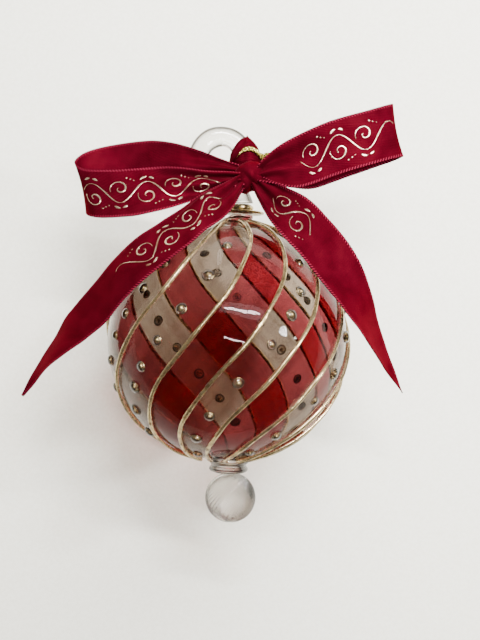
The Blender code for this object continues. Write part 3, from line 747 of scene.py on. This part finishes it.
def clothStrip(name, seed, longEdge=0, face=1):
    # a strip of the ribbon: middle + share (width / 2) across, pleated where it is gathered, its waves out
    # of the cloth; longEdge is the edge that runs on to the tip of a slanting cut, face the printed side
    path = smoothPath(placed(name), 40)
    run = np.concatenate(([0], np.cumsum(np.linalg.norm(np.diff(path[:, :3], axis=0), axis=1))))
    s = np.linspace(0, run[-1], int(run[-1] / ribbon["rowStep"]) + 1)
    *middle, lean, turn, share = (np.interp(s, run, column) for column in path.T)
    middle, lean, turn = stacked(*middle), np.radians(lean), np.radians(turn)
    across = stacked(np.sin(lean) * np.cos(turn), np.sin(turn), np.cos(lean) * np.cos(turn))
    normal = unit(np.cross(directions(middle), across))
    half = ribbon["width"] / 2
    share = np.clip(share, 0.02, 1)
    cut = (s > run[-1] * 0.6) & (longEdge != 0)
    gathered = np.where(cut, 1.0, share)
    t = acrossCloth[None, :]
    phase = np.random.default_rng(seed).uniform(0, 2 * pi, 4)
    tall = ribbon["pleatDepth"] * half / (2 * ribbon["pleats"]) * np.sqrt(1 - gathered ** 2)
    fold = pi * ribbon["pleats"] * (t + 1) + phase[0] + 0.05 * s[:, None]
    (wave, waveLength), (ripple, rippleLength) = ribbon["wave"], ribbon["ripple"]
    lift = tall[:, None] * (np.sin(fold) + 0.25 * np.sin(2 * fold + 1) * t)
    lift += wave * np.sin(2 * pi * s[:, None] / waveLength + 1.4 * t + phase[1])
    lift += ripple * np.sin(2 * pi * s[:, None] / rippleLength - 1.9 * t + phase[2]) * gathered[:, None]
    lift += ribbon["cup"] * (t ** 2 - 0.4)
    tooth = ribbon["tooth"] * np.cos(2 * pi / 3 * np.arange(len(s)))[:, None] * (np.abs(t) > 0.99) * np.sign(t)
    spread = share[:, None] * half * t + tooth * np.where(cut, 0.3, 1)[:, None]
    grid = middle[:, None] + spread[..., None] * across[:, None] + lift[..., None] * normal[:, None]
    place = np.where(cut[:, None], longEdge * half * (1 - share[:, None] * (1 - longEdge * t)), half * t)
    return {"grid": grid, "run": s, "cloth": stacked(place, s[:, None]), "face": face}


def keptOffBall(strip):
    # points nearer the ball than its room are moved straight out to it, eased over 1 mm
    away = strip["grid"] - globeCentre
    distance = np.linalg.norm(away, axis=-1, keepdims=True)
    least = globeRadius + ribbon["ballRoom"]
    strip["grid"] = globeCentre + away / distance * (least + np.logaddexp(0, (distance - least) * 3) / 3)
    return strip


def clothNormals(grid, wrapColumns=False):
    rolled = np.roll(grid, -1, axis=1) - np.roll(grid, 1, axis=1)
    return unit(np.cross(np.gradient(grid, axis=0), rolled if wrapColumns else np.gradient(grid, axis=1)))


def thickCloth(strip, wrapColumns=False):
    # the cloth's two faces, half its thickness either side of the grid, and the edges between them
    grid = strip["grid"]
    rows, columns = grid.shape[:2]
    normal = clothNormals(grid, wrapColumns) * ribbon["thick"] / 2
    count = rows * columns
    faces = gridFaces(rows, columns, wrapColumns=wrapColumns)
    i, j = np.arange(rows - 1) * columns, np.arange(columns if wrapColumns else columns - 1)
    jNext = (j + 1) % columns
    last = (rows - 1) * columns
    rims = [stacked(j, jNext, jNext + count, j + count),
            stacked(last + j, last + j + count, last + jNext + count, last + jNext)]
    if not wrapColumns:
        edge = columns - 1
        rims += [stacked(i, i + count, i + columns + count, i + columns),
                 stacked(i + edge, i + columns + edge, i + columns + edge + count, i + edge + count)]
    points = np.vstack(((grid + normal).reshape(-1, 3), (grid - normal).reshape(-1, 3)))
    cloth = strip["cloth"].reshape(-1, 2)
    return {"points": points, "quads": np.vstack([faces[:, ::-1], faces + count] + rims),
            "tris": np.empty((0, 3), dtype=int), "cloth": np.vstack((cloth, cloth))}


wrap = {"from": -46.0, "to": 26.0, "slant": 19.0, "pad": 0.55, "bulge": 1.5, "bulgeAt": 4.0, "bulgeSpread": 24.0}
knot = {"size": (4.6, 4.3, 4.7), "fold": 0.08}


def wrapOffset(angle, turn):
    # how far the wrapped cloth stands off the glass: pad + bulge exp(-((angle - at) / spread)^2), the bulge
    # on the outside of the limb
    near = np.exp(-((np.degrees(angle) - wrap["bulgeAt"]) / wrap["bulgeSpread"]) ** 2)
    return wrap["pad"] + wrap["bulge"] * near * np.maximum(np.cos(turn), 0)


def wrapStrip():
    # the turn round the ring's right limb: its upper edge slants, and it is padded on the outside
    turn = fullTurn(72)
    share = np.linspace(0, 1, 46)[:, None]
    angle = np.radians(wrap["from"] + (wrap["to"] + wrap["slant"] * np.cos(turn) - wrap["from"]) * share)
    offset = wrapOffset(angle, turn) + 0.2 * np.sin(17 * share + 2.2 * turn) * np.sin(pi * share) ** 0.5
    return {"grid": aroundLimb(angle, turn, offset), "cloth": stacked(ribbon["inside"] * share, 5 * turn)}


def foldStrip():
    # a fold of the wrap's upper edge lying over the cord, from the ring's hole to the top of the limb
    path = smoothPath(((3.1, -2.0, -5.2, 0.3), (3.9, -3.5, -3.2, 1.0), (5.5, -4.0, -0.6, 1.25),
                       (6.9, -3.4, 1.5, 1.0), (7.9, -1.7, 3.1, 0.15)), 12)
    t = np.linspace(-1, 1, 9)[None, :, None]
    side = unit(np.cross((0.0, 1.0, 0.0), np.gradient(path[:, :3], axis=0)))
    grid = path[:, None, :3] + t * path[:, None, 3:] * side[:, None]
    grid = grid + np.array((0.0, 0.5, 0.0)) * t ** 2
    run = np.arange(len(path))[:, None] * 0.25
    return {"grid": grid, "cloth": stacked(5 * t[..., 0], run)}


def knotStrip():
    # the turn that holds the bow: a sleeve round the gathered loops, whose middle stands out of it as a V:
    # 1 + fold (tanh 7 (side + rise) - tanh 7 (side - 0.45 rise - 0.3)), rise being sin turn
    turn = fullTurn(96)
    side = np.linspace(-1, 1, 54)[:, None]
    width, depth, height = knot["size"]
    rise = np.sin(turn)
    swell = np.sqrt(1 - 0.72 * side ** 2)
    crease = 1 + knot["fold"] * (np.tanh(7 * (side + rise)) - np.tanh(7 * (side - 0.45 * rise - 0.3)))
    crease += 0.012 * np.sin(9 * side + 3 * rise)
    x = width * side * (0.94 + 0.06 * rise)
    grid = knotCentre + stacked(x, -depth * swell * crease * np.cos(turn),
                                height * swell * crease * rise + 0.12 * x)
    return {"grid": grid, "cloth": stacked(ribbon["inside"] * side, 5 * turn)}


leftLoop, rightLoop = clothStrip("leftLoop", 1), clothStrip("rightLoop", 2)
leftTail = keptOffBall(clothStrip("leftTail", 3, longEdge=-1, face=-1))
rightTail = keptOffBall(clothStrip("rightTail", 4, longEdge=1))
strips = (leftLoop, rightLoop, leftTail, rightTail)
cloths = [thickCloth(strip) for strip in strips]
cloths += [thickCloth(wrapStrip(), True), thickCloth(knotStrip(), True), thickCloth(foldStrip())]
ribbonBow = makePiece("ribbonBow", joined(cloths), satin, ["ribbon_bow"], sharp=50)


# Gold foil printed on the ribbon: a running vine with curls, leaves and dots

foil = {"height": 0.05, "amplitude": 3.4, "pitch": 17.0, "curl": 2.7, "curlEnd": 0.35, "curlTurn": 2.3,
        "leaves": ((0.9, 3.2), (2.2, 2.6)), "dots": 3}


def onCloth(strip, along, across, lift):
    # points and printed-side normals of the cloth at mm along it and mm across it, between its grid points
    normals = clothNormals(strip["grid"]) * strip["face"]
    row = np.clip(along / ribbon["rowStep"], 0, len(strip["grid"]) - 1.001)
    column = np.interp(across / (ribbon["width"] / 2), acrossCloth, np.arange(len(acrossCloth)))
    column = np.clip(column, 0, len(acrossCloth) - 1.001)
    i, j = row.astype(int), column.astype(int)
    u, v = (row - i)[:, None], (column - j)[:, None]

    def blend(values):
        return ((1 - u) * (1 - v) * values[i, j] + u * (1 - v) * values[i + 1, j]
                + (1 - u) * v * values[i, j + 1] + u * v * values[i + 1, j + 1])

    out = unit(blend(normals))
    return blend(strip["grid"]) + lift * out, out


def vineStrokes(start, length, flip):
    # the vine: across = amplitude sin(2 pi along / pitch); each bend holds a curl whose radius dies away,
    # with leaves where curl and vine part, and dots; a stroke is (along, across, width)
    pitch, tall = foil["pitch"], foil["amplitude"] * flip
    a = np.linspace(0, length, int(length * 5))
    taper = np.sin(pi * np.clip(a / length, 0, 1)) ** 0.35
    bends = 2 * pi * a / pitch
    strokes = [(start + a, tall * np.sin(bends), (0.09 + 0.17 * np.cos(bends) ** 2) * taper)]
    for bend in range(int(2 * length / pitch)):
        middle, side = start + (bend + 0.5) * pitch / 2, (1 if bend % 2 == 0 else -1) * flip
        t = np.linspace(0, 1, 90)
        turn = side * (0.9 * pi + foil["curlTurn"] * pi * t)
        reach = foil["curl"] * (1 - t) ** 0.9 + foil["curlEnd"]
        strokes.append((middle + reach * np.cos(turn), -side * 1.5 + reach * np.sin(turn) * 0.95,
                        0.07 + 0.2 * np.sin(pi * t) ** 2))
        t = np.linspace(0, 1, 16)
        for leaf, (aim, size) in enumerate(foil["leaves"]):
            strokes.append((middle + (leaf - 0.5) * 4.2 + size * t * np.cos(aim),
                            side * (4.4 + size * 0.6 * t * np.sin(aim) - 0.6 * t ** 2),
                            0.03 + 0.34 * np.sin(pi * t ** 0.8)))
        t = np.linspace(-1, 1, 9)
        for dot in range(foil["dots"]):
            size = 0.24 - 0.05 * dot
            strokes.append((middle + 2.3 + 1.1 * dot + size * t, -side * (5.0 - 0.5 * dot) + 0 * t,
                            size * np.sqrt(1.02 - t ** 2)))
    return strokes


def foilShape(strip, start, length, flip=1):
    # each stroke a thin flat section carried over the cloth
    shapes = []
    for along, across, width in vineStrokes(start, length, flip):
        kept = np.clip(across, -ribbon["inside"], ribbon["inside"])
        path, out = onCloth(strip, along, kept, ribbon["thick"] / 2 + foil["height"] / 2)
        shapes.append(carried(path, out, width, foil["height"], 6, corners=3.0))
    return shapes


prints = foilShape(leftLoop, leftLoop["run"][-1] - 52, 44) + foilShape(rightLoop, 14, 32, -1)
prints += foilShape(leftTail, 10, 40) + foilShape(rightTail, 8, 18, -1)
foilPrint = makePiece("foilPrint", joined(prints), foilGold, ["ribbon_bow"])
print("foil printed:", len(foilPrint.data.polygons), "faces")


# Gold tie cord round the wrapped limb

cord = {"ply": 0.26, "twist": 2.4, "lift": 0.55, "angle": 23, "fall": 20, "dip": 33,
        "turns": ((0, 0.0), (-4, 0.1)),   # degrees higher and mm further out
        "knot": (13.7, -1.3, -2.7), "knotSize": 0.42,
        "ends": (((0.5, -0.3, -0.3), (1.0, -0.9, -1.0), (0.9, -1.3, -1.9)),
                 ((0.2, -0.4, 0.5), (0.9, -0.9, 0.7), (1.6, -1.0, 0.3)))}


def cordRoute(higher, further):
    # a turn round the limb, high on the front, lower on the outside and lowest in the hole:
    # angle - fall cos(turn)^3 outside - dip cos(turn)^2 inside
    turn = fullTurn(360)
    outside, inside = np.maximum(np.cos(turn), 0), np.maximum(-np.cos(turn), 0)
    angle = np.radians(cord["angle"] + higher - cord["fall"] * outside ** 3 - cord["dip"] * inside ** 2)
    return aroundLimb(angle, turn, wrapOffset(angle, turn) + cord["lift"] + further)


def pliesAlong(path, closed):
    # two plies turning round a route: route + ply (cos a side + sin a up), half a turn apart
    tangent = directions(path, closed)
    side = unit(np.cross(unit(path - path.mean(axis=0)), tangent))
    up = np.cross(tangent, side)
    turns = round(np.linalg.norm(np.diff(path, axis=0), axis=1).sum() / cord["twist"])
    a = np.linspace(0, 2 * pi * turns, len(path), endpoint=not closed)[:, None]
    shapes = []
    for start in (0.0, pi):
        ply = path + cord["ply"] * 0.8 * (np.cos(a + start) * side + np.sin(a + start) * up)
        shapes.append(carried(ply, up, cord["ply"], cord["ply"], 8, closed=closed))
    return shapes


def cordShape():
    # two turns, a trefoil knot outside them and two short ends
    shapes = []
    for higher, further in cord["turns"]:
        shapes += pliesAlong(cordRoute(higher, further), True)
    t = fullTurn(120)
    reach = 0.8 * (2 + np.cos(3 * t))
    trefoil = stacked(reach * np.cos(2 * t), reach * np.sin(2 * t), 1.3 * np.sin(3 * t))
    shapes += pliesAlong(cord["knot"] + cord["knotSize"] * trefoil, True)
    for end in cord["ends"]:
        shapes += pliesAlong(cord["knot"] + smoothPath(end, 20), False)
    return joined(shapes)


makePiece("goldTie", cordShape(), cordGold, ["gold_cord"])
print("cord tied")


# Stage, lights and camera

def makeStage(paper):
    # pale paper behind the ornament; seen from behind it lets the view and the light through
    material, tree, shader = newMaterial("palePaper", {"Roughness": 0.85, "Specular IOR Level": 0.2})
    tone = mapRange(tree, objectNoise(tree, Scale=900.0, Detail=2.0), 0.35, 0.65)
    feed(tree, shader, {"Base Color": mixColours(tree, tone, paper["dark"], paper["light"])})
    sight = tree.nodes.new("ShaderNodeNewGeometry")
    path = tree.nodes.new("ShaderNodeLightPath")
    either = newNode(tree, "ShaderNodeMath", {"operation": 'MAXIMUM'}, i0=sight.outputs["Backfacing"],
                     i1=path.outputs["Is Shadow Ray"])
    showThrough(material, either.outputs[0])
    half, behind = paper["half"], paper["behind"]
    mesh = bpy.data.meshes.new("backdrop")
    mesh.from_pydata([(x, behind, z) for x, z in ((-half, -half), (half, -half), (half, half), (-half, half))],
                     [], [(0, 1, 2, 3)])
    mesh.materials.append(material)
    backdrop = addObject("backdrop", mesh)


def makeLight(name, towards, distance, size, power, colour=(1, 1, 1), mirrored=True, tilt=0.0):
    # a rectangular lamp that way from the ball's centre, facing it and tilted (degrees) about the line
    # between them; mirrored if glass and gilt show it
    data = bpy.data.lights.new(name, 'AREA')
    data.shape, data.size, data.size_y = 'RECTANGLE', size[0], size[1]
    data.energy, data.color = power, colour
    back = unit(np.array(towards, dtype=float))
    right = unit(np.cross((0.0, 0.0, 1.0), back))
    up = np.cross(back, right)
    c, s = cos(radians(tilt)), sin(radians(tilt))
    right, up = c * right + s * up, c * up - s * right
    columns = stacked(right, up, back, globeCentre * mm + distance * back)
    lamp = addObject(name, data)
    lamp.matrix_world = Matrix((*columns.tolist(), (0, 0, 0, 1)))
    lamp.visible_glossy = mirrored


def makeWorld(colour, strength):
    world = bpy.data.worlds.new("softRoom")
    bpy.context.scene.world = world
    world.use_nodes = True
    background = world.node_tree.nodes["Background"].inputs
    background[0].default_value, background[1].default_value = colour, strength


def makeCamera(view):
    # stands in front of the ball, a touch right and above its middle, rolled as the picture is
    data = bpy.data.cameras.new("camera")
    data.sensor_fit, data.sensor_height = 'VERTICAL', view["sensor"]
    data.lens = view["sensor"] * view["focalPixels"] / view["imagePixels"]
    data.clip_start = 0.01
    camera = addObject("camera", data)
    r = radians(view["roll"])
    x, y, z = (value * mm for value in view["place"])
    camera.matrix_world = Matrix(((cos(r), -sin(r), 0, x), (0, 0, -1, y), (sin(r), cos(r), 0, z), (0, 0, 0, 1)))
    bpy.context.scene.camera = camera


makeStage({"dark": (0.90, 0.88, 0.77, 1), "light": (0.95, 0.935, 0.83, 1), "half": 0.9, "behind": 0.043})
makeWorld((0.80, 0.80, 0.78, 1), 0.26)
makeLight("window", (0.204, -0.855, 0.476), 0.5, (0.27, 0.022), 4.8, tilt=-15)
makeLight("windowGlow", (0.204, -0.855, 0.476), 0.51, (0.34, 0.10), 1.0, tilt=-15)
makeLight("lowWindow", (0.11, -0.99, 0.03), 0.5, (0.17, 0.016), 1.7, tilt=-13)
makeLight("sideWindow", (0.79, -0.60, 0.17), 0.5, (0.055, 0.05), 2.4, tilt=-20)
makeLight("sideGlow", (0.90, -0.42, 0.08), 0.5, (0.03, 0.03), 0.4, tilt=-20)
makeLight("ceiling", (0.3, -0.5, 1.0), 0.9, (0.8, 0.6), 25.0, (1.0, 0.98, 0.94), mirrored=False)
makeLight("skylight", (-0.1, 0.02, 1.0), 0.8, (0.5, 0.05), 0.6)
makeCamera({"place": (7.914, -304.0, -55.163), "roll": 2.18, "focalPixels": 950, "imagePixels": 640,
            "sensor": 36.0})
print("stage, lights and camera ready")
